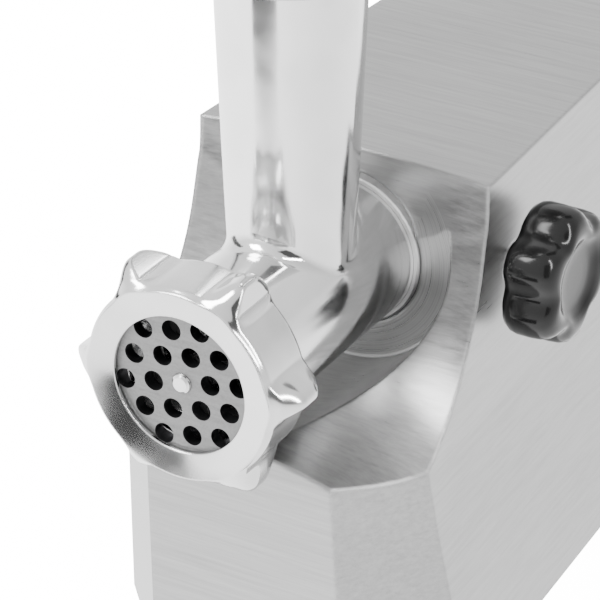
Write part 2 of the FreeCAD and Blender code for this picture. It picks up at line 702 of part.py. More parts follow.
# ---------------------------------------------------------------------------------------------
# Gear train and motor
# ---------------------------------------------------------------------------------------------
PRESSURE = math.radians(20)
OUTPUT_Z = "axis_height"
MIDDLE_Z = "axis_height - motor_drop_one"
MOTOR_Z = "axis_height - motor_drop_one - motor_drop_two"


def gear_solid(module, teeth, width, tip_share, first_angle, at):
    """A spur gear with involute flanks, its axis along Y and one tooth's middle at an angle."""
    backlash = 0.12
    pitch_radius = module * teeth / 2
    base = pitch_radius * math.cos(PRESSURE)
    tip = pitch_radius + module * tip_share
    root = pitch_radius - 1.25 * module
    half_tooth = math.pi / (2 * teeth) - backlash / (2 * pitch_radius)
    roll = math.tan(PRESSURE) - PRESSURE

    def flank_angle(radius):
        """Half the tooth's angle at a radius."""
        if radius <= base:
            return half_tooth + roll
        slope = math.acos(base / radius)
        return half_tooth + roll - (math.tan(slope) - slope)

    start = max(base, root)
    radii = [start + (tip - start) * step / 4 for step in range(5)]
    if root < base:
        radii.insert(0, root)
    points = []
    for tooth in range(teeth):
        middle = 2 * math.pi * tooth / teeth + math.radians(first_angle)
        flank = [(radius, flank_angle(radius)) for radius in radii]
        for side, order in ((-1, flank), (1, flank[::-1])):
            for radius, half in order:
                angle = middle + side * half
                points.append(V(radius * math.cos(angle), 0, radius * math.sin(angle)))
    points.append(points[0])
    solid = Part.Face(Part.makePolygon(points)).extrude(V(0, width, 0))
    solid.translate(V(0, at[0], at[1]))
    return feature(solid)


def gear(module, teeth, width, tip_share, first_angle, along, height, bore):
    """A spur gear on a shaft's seat."""
    wheel = gear_solid(size(module), int(size(teeth)), width, tip_share, first_angle, (along, evaluate(height)))
    return cut(wheel, cylinder(bore, width + 2, (0, along - 1, height), "Y"))


def wheel_with_hub(wheel, along, width, height, hub, web, rim, bore):
    """Thin the wheel's web on both sides and give it a hub and six lightening holes."""
    tools = []
    for start in (along - 1, along + width - web + 1):
        tools.append(cut(cylinder(rim, web, (0, start, height), "Y"),
                         cylinder(hub, web + 2, (0, start - 1, height), "Y")))
    for index in range(6):
        angle = math.radians(30 + 60 * index)
        middle = (hub + rim) / 2
        tools.append(cylinder((rim - hub) * 0.28, width + 2, (middle * math.cos(angle), along - 1,
                              f"{height} + {middle * math.sin(angle):.6f}"), "Y"))
    return cut(wheel, *tools)


def ball_bearing(bore, outer, width, along, height):
    """Two rings, a cage space and a row of balls, as one group of solids."""
    middle = (bore + outer) / 2
    ball = (outer - bore) * 0.29
    step = (outer - bore) * 0.3
    inner_ring = turned([(0, bore), (0, bore + step), (width, bore + step), (width, bore)], (0, along, height))
    outer_ring = turned([(0, outer - step), (0, outer), (width, outer), (width, outer - step)], (0, along, height))
    track = doc.addObject("Part::Torus", f"torus{next(serial)}")
    track.Radius1 = middle
    track.Radius2 = ball
    place(track, (0, f"({along}) + {width / 2}", height), TURN_TO["Y"])
    count = int(2 * math.pi * middle / (2 * ball) * 0.8)
    balls = []
    for index in range(count):
        angle = 2 * math.pi * index / count
        ball_obj = doc.addObject("Part::Sphere", f"sphere{next(serial)}")
        ball_obj.Radius = ball - 0.02
        place(ball_obj, (middle * math.cos(angle), f"({along}) + {width / 2}",
                         f"{height} + {middle * math.sin(angle):.6f}"), Rotation())
        balls.append(ball_obj)
    return fuse(cut(fuse(inner_ring, outer_ring), track), *balls)


def case_block(inset, start, length, radius):
    """The gearbox's rounded box between two planes."""
    half = f"case_half_width - {inset}"
    block = box((f"2 * ({half})", length, f"case_half_width + motor_drop_one + motor_drop_two + 12 - 2 * {inset}"),
                (f"-({half})", start, f"{MOTOR_Z} - 12 + {inset}"))
    return rounded(block, radius, lambda edge: abs(edge.Vertexes[0].Y - edge.Vertexes[-1].Y) > 1)


def gearbox_case():
    """Cast cup that holds the gear train, with a nose for the output bearing and seal."""
    outer = case_block(0, "case_front", "case_back - case_front", 12)
    nose = cylinder(24, 5, (0, "case_front - 4", OUTPUT_Z), "Y")
    inner = case_block(3, "case_front + 9", 60, 9)
    tools = [inner,
             cylinder(21, 12.2, (0, "case_front - 3", OUTPUT_Z), "Y"),
             cylinder(17.5, 30, (0, "case_front - 10", OUTPUT_Z), "Y"),
             cylinder(7, 6.5, (0, "case_front + 3.5", MIDDLE_Z), "Y")]
    for across, up in CASE_SCREWS:
        tools.append(cylinder(2.0, 16, (across, "case_back - 15", up), "Y"))
    posts = []
    for across, up in CASE_SCREWS:
        posts.append(common(cylinder(5.5, "case_back - case_front - 4", (across, "case_front + 4", up), "Y"),
                            case_block(0.5, "case_front", 60, 11)))
    return cut(fuse(cut(outer, tools[0]), nose, *posts), *tools[1:])


CASE_SCREWS = [(-30, 86), (30, 86), (-30, 198), (30, 198)]


def gearbox_cover():
    """Rear cover of the gearbox with seats for the rear bearing, the bush and the rotor shaft."""
    plate = case_block(0, "case_back", 4, 12)
    boss = cylinder(20, 9, (0, "case_back", OUTPUT_Z), "Y")
    small_boss = cylinder(10, 8, (0, "case_back", MIDDLE_Z), "Y")
    tools = [cylinder(16, 8, (0, "case_back - 1", OUTPUT_Z), "Y"),
             cylinder(7, 7, (0, "case_back - 1", MIDDLE_Z), "Y"),
             cylinder(8, 20, (0, "case_back - 5", MOTOR_Z), "Y")]
    for across, up in CASE_SCREWS:
        tools.append(cylinder(2.2, 20, (across, "case_back - 5", up), "Y"))
    return cut(fuse(plate, boss, small_boss), *tools)


def output_shaft():
    """Shaft with the square socket that drives the auger's tail."""
    start = "case_front - 5"
    shaft = turned([(0, 0), (0, 10), (17, 10), (17, 11.5), (19, 11.5), (19, 10), (34, 10), (34, 7.5),
                    ("case_back - case_front + 11.5", 7.5), ("case_back - case_front + 11.5", 0)],
                   (0, start, OUTPUT_Z))
    side = "square_drive + 0.3"
    socket = box((side, 19, side), (f"-({side}) / 2", f"{start} - 1", f"{OUTPUT_Z} - ({side}) / 2"))
    keyway = box((4, 14, 3), (-2, f"{start} + 19.5", f"{OUTPUT_Z} + 8"))
    return cut(shaft, socket, keyway)


def stator_stack():
    """Square laminated stack with rounded corners, a bore and slots for the windings."""
    half = "stator_half"
    stack = rounded(box((f"2 * {half}", "stator_length", f"2 * {half}"),
                        (f"-{half}", "stator_front", f"{MOTOR_Z} - {half}")), 10,
                    lambda edge: abs(edge.Vertexes[0].Y - edge.Vertexes[-1].Y) > 1)
    tools = [cylinder("rotor_radius + rotor_gap", "stator_length + 2", (0, "stator_front - 1", MOTOR_Z), "Y")]
    for index in range(12):
        slot = box((10.5, "stator_length + 2", 5.4), ("rotor_radius + 1.8", -1, -2.7))
        tools.append(spun(slot, 30 * index + 15, (0, "stator_front", MOTOR_Z)))
    for across, up in BOLT_SPOTS:
        tools.append(cylinder(2.2, "stator_length + 2", (across, "stator_front - 1", f"{MOTOR_Z} + {up}"), "Y"))
    return cut(stack, *tools)


def stator_windings():
    """Bundles of wire in the slots, joined by a ring of wire at each end of the stack."""
    bars = []
    for index in range(12):
        bar = box((9.2, "stator_length + 8", 4.4), ("rotor_radius + 2.6", -4, -2.2))
        bars.append(spun(bar, 30 * index + 15, (0, "stator_front", MOTOR_Z)))
    for start in (-12, 47):
        bars.append(turned([(0, 26.5), (0, 34), (2, 36), (9, 36), (11, 34), (11, 26.5)],
                           (0, f"stator_front + {start}", MOTOR_Z)))
    return fuse(*bars)


def motor_bracket(start, outward):
    """End bracket of the motor: a plate with four arms' worth of openings and a bearing seat."""
    half = "stator_half"
    plate = rounded(box((f"2 * {half}", 3, f"2 * {half}"), (f"-{half}", start, f"{MOTOR_Z} - {half}")), 10,
                    lambda edge: abs(edge.Vertexes[0].Y - edge.Vertexes[-1].Y) > 1)
    seat = cylinder(14, 8, (0, start if outward == "Y" else f"({start}) - 5", MOTOR_Z), "Y")
    tools = [cylinder(11, 7.2, (0, f"({start}) - 1" if outward == "Y" else f"({start}) - 3.2", MOTOR_Z), "Y"),
             cylinder(6, 30, (0, f"({start}) - 15", MOTOR_Z), "Y")]
    for index in range(4):
        angle = math.radians(90 * index)
        tools.append(cylinder(9, 20, (27 * math.cos(angle), f"({start}) - 10",
                                      f"{MOTOR_Z} + {27 * math.sin(angle):.6f}"), "Y"))
    for across, up in BOLT_SPOTS:
        tools.append(cylinder(2.2, 20, (across, f"({start}) - 10", f"{MOTOR_Z} + {up}"), "Y"))
    return cut(fuse(plate, seat), *tools)


BOLT_SPOTS = [(across * 36.5, up * 36.5) for across in (-1, 1) for up in (-1, 1)]


def rotor_shaft():
    return turned([(0, 0), (0, 4), (13, 4), (13, 5), (85, 5), (85, 4), (116, 4), (116, 0)], (0, 5, MOTOR_Z))


def motor_fan():
    """Radial fan: a disc, a hub and nine blades."""
    start = 114
    hub = cut(fuse(cylinder(8, 9, (0, start - 3, MOTOR_Z), "Y"), cylinder(34, 1.5, (0, start, MOTOR_Z), "Y")),
              cylinder(4.02, 20, (0, start - 5, MOTOR_Z), "Y"))
    blades = []
    for index in range(9):
        blade = box((26, 10, 1.4), (7.5, start + 0.5, -0.7))
        blades.append(spun(blade, 40 * index, (0, 0, MOTOR_Z)))
    return cut(fuse(hub, *blades), cylinder(4.02, 20, (0, start - 5, MOTOR_Z), "Y"))


def motor_cradle():
    """Folded sheet cradle that carries the motor on the floor pan."""
    top = f"{MOTOR_Z} - stator_half"
    saddle = box((60, 40, 2.5), (-30, 51, f"{top} - 2.5"))
    legs = [box((2.5, 40, f"{top} - housing_bottom - 2.5"), (across, 51, "housing_bottom + 2.5"))
            for across in (-30, 27.5)]
    flanges = [box((12, 40, 2.5), (across, 51, "housing_bottom + 2.5")) for across in (-42, 30)]
    return fuse(saddle, *legs, *flanges)


def gearbox_stand():
    """Two cast legs between the gearbox and the floor pan."""
    top = f"{MOTOR_Z} - 12"
    legs = [cone(9, 7, f"{top} - housing_bottom - 2.5", (across, -1, "housing_bottom + 2.5")) for across in (-22, 22)]
    foot = box((70, 24, 3), (-35, -13, "housing_bottom + 2.5"))
    return fuse(foot, *legs)


half_tooth_motor = 180 / size("teeth_motor")
half_tooth_pinion = 180 / size("teeth_pinion")
node("gearbox_case", gearbox_case())
node("gearbox_cover", gearbox_cover())
node("gearbox_screws", group_of_screws([(across, "case_back + 4", up) for across, up in CASE_SCREWS],
                                       "-Y", 1.95, 16, 3.6, 2.6))
node("output_shaft", output_shaft())
node("output_gear", cut(wheel_with_hub(gear("module_two", "teeth_output", 14, 0.75, -90, -8, OUTPUT_Z, 10.02),
                                       -8, 14, OUTPUT_Z, 15, 4, 26, 10),
                        box((4, 16, 5), (-2, -9, f"{OUTPUT_Z} + 7.6"))))
node("gear_key", box((3.98, 13, 4.2), (-1.99, -7, f"{OUTPUT_Z} + 8.1")))
node("output_front_bearing", ball_bearing(10.02, 20.98, 12, "case_front - 2.9", OUTPUT_Z))
node("output_rear_bearing", ball_bearing(7.52, 15.98, 7, "case_back", OUTPUT_Z))
node("shaft_seal", turned([(0, 10.12), (0, 17.4), (0.9, 17.4), (0.9, 10.12)], (0, "case_front - 4", OUTPUT_Z)))
node("intermediate_shaft", turned([(0, 0), (0, 4), (43.5, 4), (43.5, 0)], (0, "case_front + 4", MIDDLE_Z)))
node("intermediate_bushes", fuse(
    turned([(0, 4.06), (0, 6.98), (5.5, 6.98), (5.5, 4.06)], (0, "case_front + 3.8", MIDDLE_Z)),
    turned([(0, 4.06), (0, 6.98), (5.5, 6.98), (5.5, 4.06)], (0, "case_back", MIDDLE_Z))))
node("intermediate_pinion", gear("module_two", "teeth_pinion", 16, 1.0, 90 + half_tooth_pinion, -9, MIDDLE_Z, 4.01))
node("intermediate_wheel", wheel_with_hub(
    gear("module_one", "teeth_wheel", 8, 0.75, -90, 8.5, MIDDLE_Z, 4.01), 8.5, 8, MIDDLE_Z, 9, 2.5, 26, 4))
node("motor_pinion", gear("module_one", "teeth_motor", 10, 1.0, 90 + half_tooth_motor, 7.5, MOTOR_Z, 4.01))
node("rotor_shaft", rotor_shaft())
node("rotor_core", turned([(0, 5.02), (0, "rotor_radius - 5"), (3, "rotor_radius - 5"), (3, "rotor_radius"),
                           ("stator_length - 1", "rotor_radius"), ("stator_length - 1", "rotor_radius - 5"),
                           ("stator_length + 2", "rotor_radius - 5"), ("stator_length + 2", 5.02)],
                          (0, "stator_front - 1", MOTOR_Z)))
node("motor_stator", stator_stack())
node("stator_windings", stator_windings())
node("motor_front_bracket", motor_bracket("stator_front - 15.5", "Y"))
node("motor_rear_bracket", motor_bracket("stator_front + stator_length + 12.5", "-Y"))
node("motor_front_bearing", ball_bearing(5.02, 10.98, 6, "stator_front - 15.5", MOTOR_Z))
node("motor_rear_bearing", ball_bearing(4.02, 10.98, 6, "stator_front + stator_length + 9.5", MOTOR_Z))
node("motor_bolts", group_of_screws([(across, "stator_front + stator_length + 15.5", f"{MOTOR_Z} + {up}")
                                     for across, up in BOLT_SPOTS], "-Y", 2, "stator_length + 31", 4, 3))
node("motor_fan", motor_fan())
node("motor_cradle", motor_cradle())
node("gearbox_stand", gearbox_stand())

# ---------------------------------------------------------------------------------------------
# Electrics and controls
# ---------------------------------------------------------------------------------------------


def switch_panel():
    """Plastic plate on the left side with windows for the rocker and the reverse button."""
    plate = rounded(box((9, PANEL_LENGTH, PANEL_HEIGHT),
                        (PANEL_X - 3, PANEL_Y - PANEL_LENGTH / 2, PANEL_Z - PANEL_HEIGHT / 2)), 2,
                    lambda edge: abs(edge.Vertexes[0].X - edge.Vertexes[-1].X) > 1)
    frame = box((9, 60, 32), (PANEL_X, PANEL_Y - 30, PANEL_Z - 16))
    windows = [box((30, 22.6, 28.6), (PANEL_X - 10, PANEL_Y - 25.3, PANEL_Z - 14.3)),
               cylinder(8.3, 40, (PANEL_X - 10, PANEL_Y + 17, PANEL_Z), "X")]
    hollow = box((20, 56, 29), (PANEL_X + 2, PANEL_Y - 28, PANEL_Z - 14.5))
    return cut(fuse(plate, frame), *windows, hollow)


def power_rocker():
    """Rocker cap with two slanted halves."""
    return padded([(PANEL_X - 6.4, PANEL_Z + 12.6), (PANEL_X - 4.2, PANEL_Z), (PANEL_X - 3.0, PANEL_Z - 12.6),
                  (PANEL_X + 2.0, PANEL_Z - 12.0), (PANEL_X + 4.0, PANEL_Z), (PANEL_X + 0.5, PANEL_Z + 12.0)],
                 21.4, (0, PANEL_Y - 24.7, 0), "Y")


node("switch_panel", switch_panel())
node("power_rocker", power_rocker())
node("rocker_body", box((18, 26, 26), (PANEL_X + 9.1, PANEL_Y - 27, PANEL_Z - 13)))
node("reverse_button", turned([(0, 0), (0, 7), (1, 7.9), (8, 7.9), (8, 0)], (PANEL_X - 6, PANEL_Y + 17, PANEL_Z), "X"))
node("reverse_spring", turned([(0, 3), (0, 5), (5.4, 5), (5.4, 3)], (PANEL_X + 4.1, PANEL_Y + 17, PANEL_Z), "X"))
node("reverse_body", box((16, 20, 20), (PANEL_X + 9.6, PANEL_Y + 7, PANEL_Z - 10)))


def inlet_socket():
    """Three-pole inlet: a flanged shell with an open mouth towards the back."""
    shell = box((27, 26, 20), (-13.5, "housing_back - 22", 30.2))
    flange = rounded(box((50, 2.5, 24), (-25, "housing_back + 3", 28.2)), 4,
                     lambda edge: abs(edge.Vertexes[0].Y - edge.Vertexes[-1].Y) > 1)
    mouth = padded([(-12, 32), (12, 32), (12, 43), (7, 48), (-7, 48), (-12, 43)], 22,
                   (0, "housing_back - 16", 0))
    return cut(fuse(shell, flange), mouth)


node("inlet_socket", inlet_socket())
node("inlet_pins", fuse(*[box((2, 18, 4), (across, "housing_back - 19", up))
                          for across, up in ((-8, 36), (6, 36), (-1, 41.5))]))
node("reset_button", turned([(0, 0), (0, 5.6), (6, 5.6), (7.5, 4.6), (7.5, 0)], (RESET_X, "housing_back - 1", 40)))
node("reset_body", cut(box((16, 24, 18), (RESET_X - 8, "housing_back - 24.8", 31)),
                       cylinder(6, 6, (RESET_X, "housing_back - 6", 40), "Y")))
node("circuit_board", box((58, 60, 1.6), (-24, 50, 152)))
node("board_parts", fuse(box((14, 18, 12), (-21, 56, 153.6)), box((12, 20, 15), (16, 60, 153.6)),
                         cylinder(5, 14, (-4, 62, 153.6)), cylinder(5, 14, (8, 90, 153.6)),
                         box((14, 10, 8), (-20, 90, 153.6))))
node("run_capacitor", turned([(0, 0), (0, 15), (1.5, 16), (56, 16), (58, 14), (58, 0)], (0, 48, 187)))
node("capacitor_strap", cut(cylinder(17.2, 12, (0, 70, 187), "Y"), cylinder(16.02, 14, (0, 69, 187), "Y")))

# ---------------------------------------------------------------------------------------------
# Check and write
# ---------------------------------------------------------------------------------------------
def check():
    """Stop before anything is written if any object failed or any piece isn't a valid shape."""
    doc.recompute()
    for obj in doc.Objects:
        if "Invalid" in obj.State or "Error" in obj.State:
            raise RuntimeError(f"{obj.Label} is {obj.State}")
    for obj in NODES:
        shape = obj.Shape
        if shape.isNull() or not shape.isValid() or shape.Volume <= 0:
            raise RuntimeError(f"{obj.Label} has no valid shape")


check()
os.makedirs("parts", exist_ok=True)
for piece in NODES:
    piece.Shape.exportStep(f"parts/{piece.Label}.step")
    print(f"{piece.Label}: {len(piece.Shape.Solids)} solids, {piece.Shape.Volume / 1000:.1f} cm3")
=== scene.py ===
"""Looks of the electric meat grinder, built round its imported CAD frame.  Lengths are in metres."""
import json
import math

import bmesh
import bpy
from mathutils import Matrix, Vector


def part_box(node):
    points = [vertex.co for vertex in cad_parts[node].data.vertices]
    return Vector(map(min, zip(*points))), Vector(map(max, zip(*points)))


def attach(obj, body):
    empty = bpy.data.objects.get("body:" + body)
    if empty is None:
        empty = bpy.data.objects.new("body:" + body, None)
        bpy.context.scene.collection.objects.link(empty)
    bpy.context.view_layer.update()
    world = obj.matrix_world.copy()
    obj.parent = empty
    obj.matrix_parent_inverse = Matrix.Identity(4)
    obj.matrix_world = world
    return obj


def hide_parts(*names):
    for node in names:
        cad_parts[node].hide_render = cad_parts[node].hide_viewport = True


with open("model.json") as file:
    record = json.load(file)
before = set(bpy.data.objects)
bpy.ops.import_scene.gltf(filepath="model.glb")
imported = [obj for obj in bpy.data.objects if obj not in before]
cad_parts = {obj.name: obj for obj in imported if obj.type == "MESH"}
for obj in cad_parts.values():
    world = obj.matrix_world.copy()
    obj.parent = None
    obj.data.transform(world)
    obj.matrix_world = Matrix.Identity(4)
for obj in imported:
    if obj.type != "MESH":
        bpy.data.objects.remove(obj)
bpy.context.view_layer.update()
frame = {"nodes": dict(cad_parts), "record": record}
NODES = frame["nodes"]

# The grinding head's axis runs along Y at this height; PLATE_Y is the plate's front face.
plate_low, plate_high = (Vector(corner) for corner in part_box("grinder_plate"))
AXIS = (plate_low.z + plate_high.z) / 2
PLATE_Y = plate_low.y
MM = 0.001

# The round recess that the head plugs into, and the depths between which its floor lies.
RECESS_RADIUS = 0.0474
RECESS_FLOOR_START = PLATE_Y + 0.1212
RECESS_FLOOR_END = PLATE_Y + 0.1235


# ---------------------------------------------------------------------------------------------
# Small helpers
# ---------------------------------------------------------------------------------------------
def outward(azimuth, elevation):
    """Unit vector away from the grinder, from degrees; azimuth 0 is in front, 90 on the knob's side."""
    turn, rise = math.radians(azimuth), math.radians(elevation)
    return Vector((math.sin(turn) * math.cos(rise), -math.cos(turn) * math.cos(rise), math.sin(rise)))


def add_object(name, data):
    """A new object in the scene's own collection."""
    added = bpy.data.objects.new(name, data)
    bpy.context.scene.collection.objects.link(added)
    return added


def add_sheet(name, across, up):
    """A flat sheet in its own XY plane, from half its width and half its height."""
    mesh = bpy.data.meshes.new(name)
    corners = [(-across, -up, 0), (across, -up, 0), (across, up, 0), (-across, up, 0)]
    mesh.from_pydata(corners, [], [(0, 1, 2, 3)])
    return add_object(name, mesh)


# ---------------------------------------------------------------------------------------------
# Camera
# ---------------------------------------------------------------------------------------------
AZIMUTH = 30.03
ELEVATION = 28.80
SENSOR = 36.0
FOCAL_IN_WIDTHS = 6.25
DISTANCE = 1.375
NEAREST_SEEN = 0.05
FURTHEST_SEEN = 30.0
AIM = Vector((0.0219, PLATE_Y + 0.0476, AXIS + 0.0177))


def make_camera():
    data = bpy.data.cameras.new("camera")
    data.sensor_width = SENSOR
    data.lens = SENSOR * FOCAL_IN_WIDTHS
    data.clip_start = NEAREST_SEEN
    data.clip_end = FURTHEST_SEEN
    camera = add_object("camera", data)
    away = outward(AZIMUTH, ELEVATION)
    camera.location = AIM + away * DISTANCE
    camera.rotation_euler = away.to_track_quat("Z", "Y").to_euler()
    bpy.context.scene.camera = camera


# ---------------------------------------------------------------------------------------------
# Materials: small helpers over Blender's shader nodes
# ---------------------------------------------------------------------------------------------
class Paint:
    """One procedural material, built node by node."""

    def __init__(self, name, color, metallic=0.0, roughness=0.5, **sockets):
        self.material = bpy.data.materials.new(name)
        self.material.use_nodes = True
        self.tree = self.material.node_tree
        self.shader = self.tree.nodes["Principled BSDF"]
        self.shader.inputs["Base Color"].default_value = (*color, 1.0)
        self.shader.inputs["Metallic"].default_value = metallic
        self.shader.inputs["Roughness"].default_value = roughness
        for socket, value in sockets.items():
            self.shader.inputs[socket.replace("_", " ")].default_value = value
        self.place = self.add("ShaderNodeTexCoord").outputs["Object"]
        self.normal = None

    def add(self, kind, **settings):
        node = self.tree.nodes.new(kind)
        for key, value in settings.items():
            setattr(node, key, value)
        return node

    def link(self, source, target):
        self.tree.links.new(source, target)

    def stretched(self, scale):
        """Object coordinates, scaled differently along each axis."""
        mapping = self.add("ShaderNodeMapping")
        mapping.inputs["Scale"].default_value = scale
        self.link(self.place, mapping.inputs["Vector"])
        return mapping.outputs["Vector"]

    def noise(self, scale, stretch=(1, 1, 1), detail=4.0, rough=0.6):
        node = self.add("ShaderNodeTexNoise")
        node.inputs["Scale"].default_value = scale
        node.inputs["Detail"].default_value = detail
        node.inputs["Roughness"].default_value = rough
        self.link(self.stretched(stretch), node.inputs["Vector"])
        return node.outputs["Fac"]

    def ramp(self, value, low, high, start=0.3, end=0.7):
        """A value spread between two numbers."""
        node = self.add("ShaderNodeMapRange")
        node.inputs["From Min"].default_value = start
        node.inputs["From Max"].default_value = end
        node.inputs["To Min"].default_value = low
        node.inputs["To Max"].default_value = high
        self.link(value, node.inputs["Value"])
        return node.outputs["Result"]

    def math(self, operation, *values):
        node = self.add("ShaderNodeMath", operation=operation)
        for index, value in enumerate(values):
            if isinstance(value, (int, float)):
                node.inputs[index].default_value = value
            else:
                self.link(value, node.inputs[index])
        return node.outputs["Value"]

    def blend(self, share, first, second):
        node = self.add("ShaderNodeMix", data_type="FLOAT")
        for index, value in zip((0, 2, 3), (share, first, second)):
            if isinstance(value, (int, float)):
                node.inputs[index].default_value = value
            else:
                self.link(value, node.inputs[index])
        return node.outputs[0]

    def roughen(self, value, low, high, start=0.3, end=0.7):
        self.link(self.ramp(value, low, high, start, end), self.shader.inputs["Roughness"])

    def tint(self, value, dark, light, start=0.3, end=0.7):
        node = self.add("ShaderNodeMix", data_type="RGBA")
        node.inputs[6].default_value = (*dark, 1.0)
        node.inputs[7].default_value = (*light, 1.0)
        self.link(self.ramp(value, 0.0, 1.0, start, end), node.inputs[0])
        self.link(node.outputs[2], self.shader.inputs["Base Color"])

    def bump(self, height, strength, distance):
        node = self.add("ShaderNodeBump")
        node.inputs["Strength"].default_value = strength
        node.inputs["Distance"].default_value = distance
        self.link(height, node.inputs["Height"])
        if self.normal is not None:
            self.link(self.normal, node.inputs["Normal"])
        self.normal = node.outputs["Normal"]
        self.link(self.normal, self.shader.inputs["Normal"])

    def soften(self, radius):
        """Shade the edges as if they were rounded."""
        node = self.add("ShaderNodeBevel", samples=6)
        node.inputs["Radius"].default_value = radius
        self.normal = node.outputs["Normal"]
        self.link(self.normal, self.shader.inputs["Normal"])

    def from_axis(self):
        """Distance from the head's axis, and Y."""
        split = self.add("ShaderNodeSeparateXYZ")
        self.link(self.place, split.inputs["Vector"])
        rise = self.math("SUBTRACT", split.outputs["Z"], AXIS)
        square = self.math("ADD", self.math("MULTIPLY", split.outputs["X"], split.outputs["X"]),
                           self.math("MULTIPLY", rise, rise))
        return self.math("SQRT", square), split.outputs["Y"]

    def rings(self, scale):
        """Fine turning marks round the head's axis."""
        node = self.add("ShaderNodeTexNoise", noise_dimensions="1D")
        node.inputs["Scale"].default_value = scale
        node.inputs["Detail"].default_value = 2.0
        self.link(self.from_axis()[0], node.inputs["W"])
        return node.outputs["Fac"]

    def in_recess(self):
        """1 on the floor of the round recess, 0 elsewhere."""
        radius, along = self.from_axis()
        inside = self.math("LESS_THAN", radius, RECESS_RADIUS)
        deep = self.math("MULTIPLY", self.math("GREATER_THAN", along, RECESS_FLOOR_START),
                         self.math("LESS_THAN", along, RECESS_FLOOR_END))
        return self.math("MULTIPLY", inside, deep)

    def facing(self, axis, start=0.55, end=0.8):
        """How far the surface faces along an axis of the object, from 0 to 1."""
        split = self.add("ShaderNodeSeparateXYZ")
        self.link(self.add("ShaderNodeTexCoord").outputs["Normal"], split.inputs["Vector"])
        return self.ramp(self.math("ABSOLUTE", split.outputs[axis]), 0.0, 1.0, start, end)


def grey(value):
    return (value, value, value)


def brushed_housing():
    """Brushed sheet: fine lines across the front and the top, and along the sides."""
    paint = Paint("brushed_housing", grey(0.31), 1.0, 0.34)
    paint.soften(0.0025)
    across = paint.noise(520, (0.035, 1, 1), 3.0, 0.7)
    along = paint.noise(520, (1, 0.035, 1), 3.0, 0.7)
    side = paint.facing("X")
    turned = paint.rings(1500)
    lines = paint.blend(paint.in_recess(), paint.blend(side, across, along), turned)
    cloud = paint.noise(9, (1, 1, 1), 3.0)
    mixed = paint.blend(0.3, lines, cloud)
    paint.tint(mixed, grey(0.25), grey(0.38))
    paint.roughen(mixed, 0.26, 0.40)
    paint.bump(lines, 0.30, 0.00012)
    return paint.material


def polished_casting(name="polished_casting", value=0.74, low=0.07, high=0.2):
    """Polished cast alloy: bright, with faint waves and a few finer rub marks."""
    paint = Paint(name, grey(value), 1.0, 0.12)
    paint.soften(0.0008)
    wave = paint.noise(38, (1, 1, 1), 2.0)
    marks = paint.noise(900, (1, 0.12, 1), 2.0)
    paint.tint(wave, grey(value - 0.06), grey(value + 0.03))
    paint.roughen(wave, low, high)
    paint.bump(wave, 0.10, 0.0006)
    paint.bump(marks, 0.06, 0.00005)
    return paint.material


def sanded_plate_with_hole_shade():
    """Plate face as it comes off the belt: even grain, matt and a little mottled; the hole walls and the
    rim carry painted shade.
    """
    paint = Paint("sanded_plate_with_hole_shade", grey(0.26), 1.0, 0.5)
    grain = paint.noise(1500, (1, 1, 1), 3.0)
    lines = paint.noise(700, (0.1, 1, 1), 2.0)
    mixed = paint.blend(0.5, grain, lines)
    paint.tint(mixed, grey(0.17), grey(0.28))
    # Painted shade: every surface that doesn't face forward, the hole walls and the plate's rim, is
    # coloured near-black.
    face = paint.add("ShaderNodeMix", data_type="RGBA")
    face.inputs[6].default_value = (0.035, 0.035, 0.037, 1.0)
    paint.link(paint.facing("Y"), face.inputs[0])
    paint.link(paint.shader.inputs["Base Color"].links[0].from_socket, face.inputs[7])
    paint.link(face.outputs[2], paint.shader.inputs["Base Color"])
    paint.roughen(mixed, 0.42, 0.6)
    paint.bump(mixed, 0.25, 0.0001)
    return paint.material


def steel(name, value, roughness, scale=300, stretch=(1, 1, 1), bump=0.08, color=None):
    """Machined or bright metal with fine marks."""
    base = color or grey(value)
    paint = Paint(name, base, 1.0, roughness)
    marks = paint.noise(scale, stretch, 3.0)
    paint.tint(marks, [part * 0.88 for part in base], [min(part * 1.08, 0.95) for part in base])
    paint.roughen(marks, roughness * 0.75, roughness * 1.3)
    paint.bump(marks, bump, 0.00008)
    return paint.material


def plastic(name, color, roughness, grain=1200, bump=0.12, coat=0.0):
    """Moulded plastic or rubber with a fine spark-eroded grain."""
    paint = Paint(name, color, 0.0, roughness, Coat_Weight=coat, Coat_Roughness=0.08)
    paint.shader.inputs["Specular IOR Level"].default_value = 0.28
    fine = paint.noise(grain, (1, 1, 1), 3.0)
    cloud = paint.noise(40, (1, 1, 1), 2.0)
    paint.tint(cloud, [part * 0.85 for part in color], [min(part * 1.18, 0.95) for part in color])
    paint.roughen(fine, roughness * 0.85, roughness * 1.2)
    paint.bump(fine, bump, 0.00006)
    return paint.material


def lamination_stack():
    """Stacked sheets, seen as fine lines round the stack."""
    paint = Paint("lamination_stack", (0.20, 0.21, 0.23), 0.7, 0.45)
    sheets = paint.add("ShaderNodeTexWave", wave_type="BANDS", bands_direction="Y")
    sheets.inputs["Scale"].default_value = 320
    sheets.inputs["Distortion"].default_value = 0.4
    paint.link(paint.place, sheets.inputs["Vector"])
    paint.tint(sheets.outputs["Fac"], (0.13, 0.14, 0.16), (0.30, 0.31, 0.33), 0.2, 0.8)
    paint.bump(sheets.outputs["Fac"], 0.3, 0.0001)
    return paint.material


def copper_winding():
    """Enamelled wire laid in bundles."""
    paint = Paint("copper_winding", (0.55, 0.20, 0.07), 0.6, 0.3)
    wires = paint.add("ShaderNodeTexWave", wave_type="RINGS", rings_direction="Y")
    wires.inputs["Scale"].default_value = 260
    wires.inputs["Distortion"].default_value = 1.5
    wires.inputs["Detail"].default_value = 2
    paint.link(paint.place, wires.inputs["Vector"])
    paint.tint(wires.outputs["Fac"], (0.34, 0.10, 0.03), (0.68, 0.28, 0.10), 0.2, 0.8)
    paint.bump(wires.outputs["Fac"], 0.5, 0.0003)
    return paint.material


